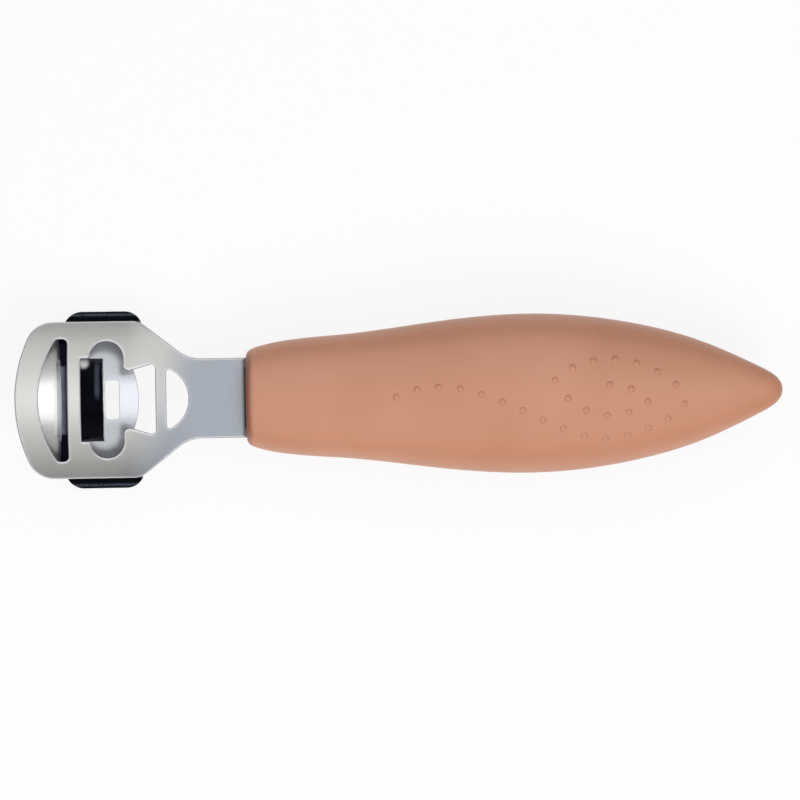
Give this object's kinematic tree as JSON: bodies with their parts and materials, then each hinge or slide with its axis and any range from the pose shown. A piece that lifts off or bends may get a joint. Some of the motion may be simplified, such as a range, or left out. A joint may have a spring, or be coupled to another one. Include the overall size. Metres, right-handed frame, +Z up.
{
  "type": "callus remover",
  "caption": "Hand-held callus remover: an arched steel head with a slot over a clamped strip blade, on an oval plastic handle with small grip domes",
  "frame": {"origin": "under the middle of the tool, on the surface that it lies on", "axes": "+X along the handle towards its tip, +Y across the tool, +Z up out of the convex side of the head"},
  "size_m": [0.17, 0.0394, 0.0217],
  "materials": {
    "handle_plastic": "satin moulded terracotta-pink plastic",
    "plate_steel": "satin plated steel with tumbled, rounded edges",
    "clamp_steel": "polished plated spring steel",
    "blade_steel": "dark ground blade steel with a bright bevel"
  },
  "bodies": {
    "root": {"handle": "handle_plastic", "head_plate": "plate_steel", "blade_clamp": "clamp_steel", "blade": "blade_steel"}
  },
  "joints": []
}
